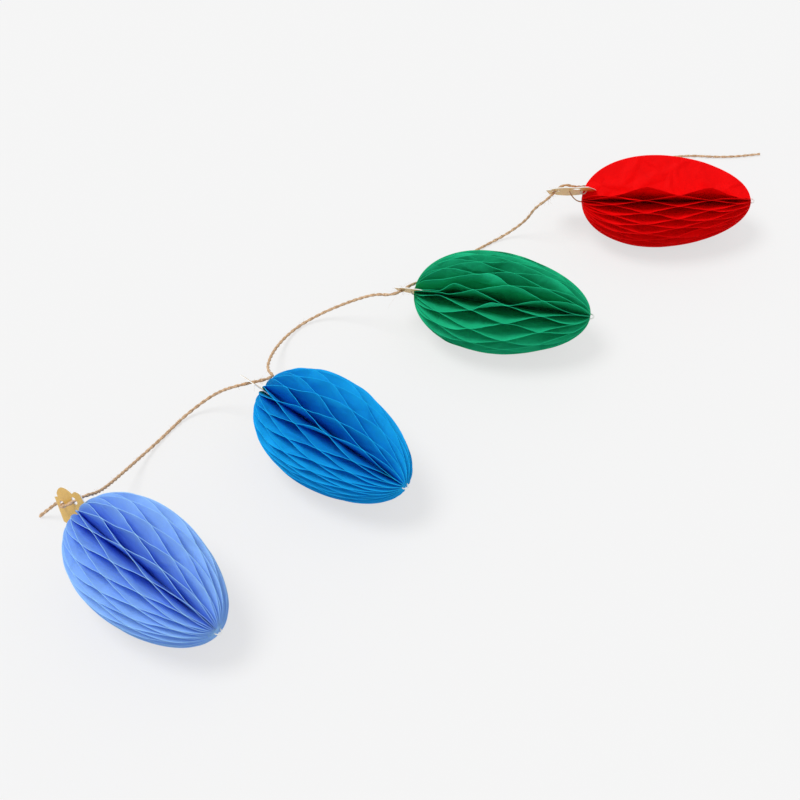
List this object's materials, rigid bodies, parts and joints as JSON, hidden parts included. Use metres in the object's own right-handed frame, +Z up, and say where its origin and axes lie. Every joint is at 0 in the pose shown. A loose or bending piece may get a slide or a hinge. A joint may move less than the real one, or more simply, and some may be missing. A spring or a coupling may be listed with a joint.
{
  "type": "paper light bulb garland",
  "caption": "Garland of honeycomb tissue paper light bulbs with gold cap cards, threaded on jute twine, laid flat in a row.",
  "frame": {"origin": "on the table under the middle of the row of bulbs", "axes": "+X along the garland from the periwinkle bulb to the red one, +Y towards the caps and the twine, +Z up from the table"},
  "size_m": [0.519, 0.1455, 0.0627],
  "materials": {
    "tissue_periwinkle": "matte",
    "tissue_blue": "matte",
    "tissue_green": "matte",
    "tissue_red": "matte",
    "gold_card": "satin",
    "white_thread": "matte",
    "jute_twine": "matte"
  },
  "bodies": {
    "root": {"honeycomb_periwinkle": "tissue_periwinkle", "cap_card_periwinkle": "gold_card", "cap_stitch_periwinkle": "white_thread", "tip_stitch_periwinkle": "white_thread", "honeycomb_blue": "tissue_blue", "cap_card_blue": "gold_card", "cap_stitch_blue": "white_thread", "tip_stitch_blue": "white_thread", "honeycomb_green": "tissue_green", "cap_card_green": "gold_card", "cap_stitch_green": "white_thread", "tip_stitch_green": "white_thread", "honeycomb_red": "tissue_red", "cap_card_red": "gold_card", "cap_stitch_red": "white_thread", "tip_stitch_red": "white_thread", "twine": "jute_twine"}
  },
  "joints": []
}
